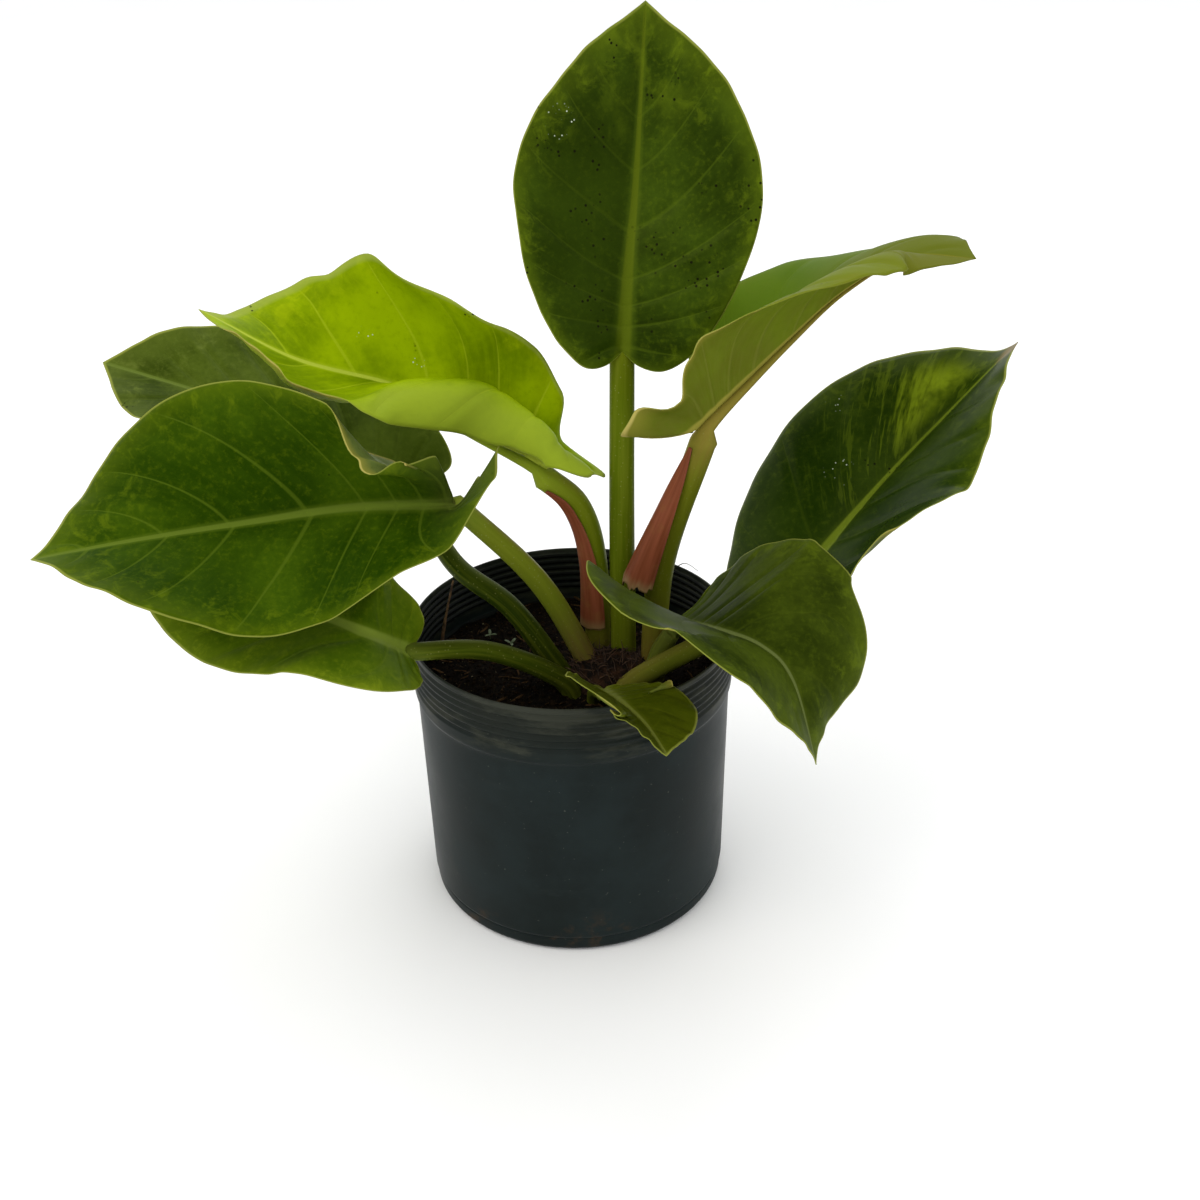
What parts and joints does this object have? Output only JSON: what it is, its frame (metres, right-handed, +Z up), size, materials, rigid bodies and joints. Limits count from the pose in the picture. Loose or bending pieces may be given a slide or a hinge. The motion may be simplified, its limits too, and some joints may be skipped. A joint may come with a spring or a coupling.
{
  "type": "potted philodendron",
  "caption": "Self-heading philodendron with broad waxy green leaves on thick petioles, in a round black-green nursery pot of soil.",
  "frame": {"origin": "centre of the pot's base, on the surface that the pot stands on", "axes": "+Z up along the pot's axis; -Y towards the picture's camera; +X to the picture's right"},
  "size_m": [0.6425, 0.3646, 0.5951],
  "materials": {
    "pot_plastic": "satin moulded plastic, slightly scuffed",
    "potting_soil": "matt, crumbly, nearly black",
    "brown_stem": "dry and fibrous",
    "green_leaf": "waxy, half gloss, pale margin and veins",
    "olive_leaf": "waxy, half gloss, golden margin",
    "young_leaf": "waxy, half gloss, bright yellow-green",
    "pink_sheath": "satin, dry at its lower edge",
    "dry_twig": "dry bark"
  },
  "bodies": {
    "root": {"pot": "pot_plastic", "soil": "potting_soil", "stem": "brown_stem", "leaf_back_upright": "green_leaf", "leaf_right_folded": "olive_leaf", "leaf_right_broad": "green_leaf", "leaf_front_right": "green_leaf", "leaf_front_small": "green_leaf", "leaf_left_young": "young_leaf", "leaf_left_large": "green_leaf", "leaf_left_rear": "green_leaf", "leaf_left_low": "green_leaf", "sheath_right": "pink_sheath", "sheath_left": "pink_sheath", "twig": "dry_twig"}
  },
  "joints": []
}
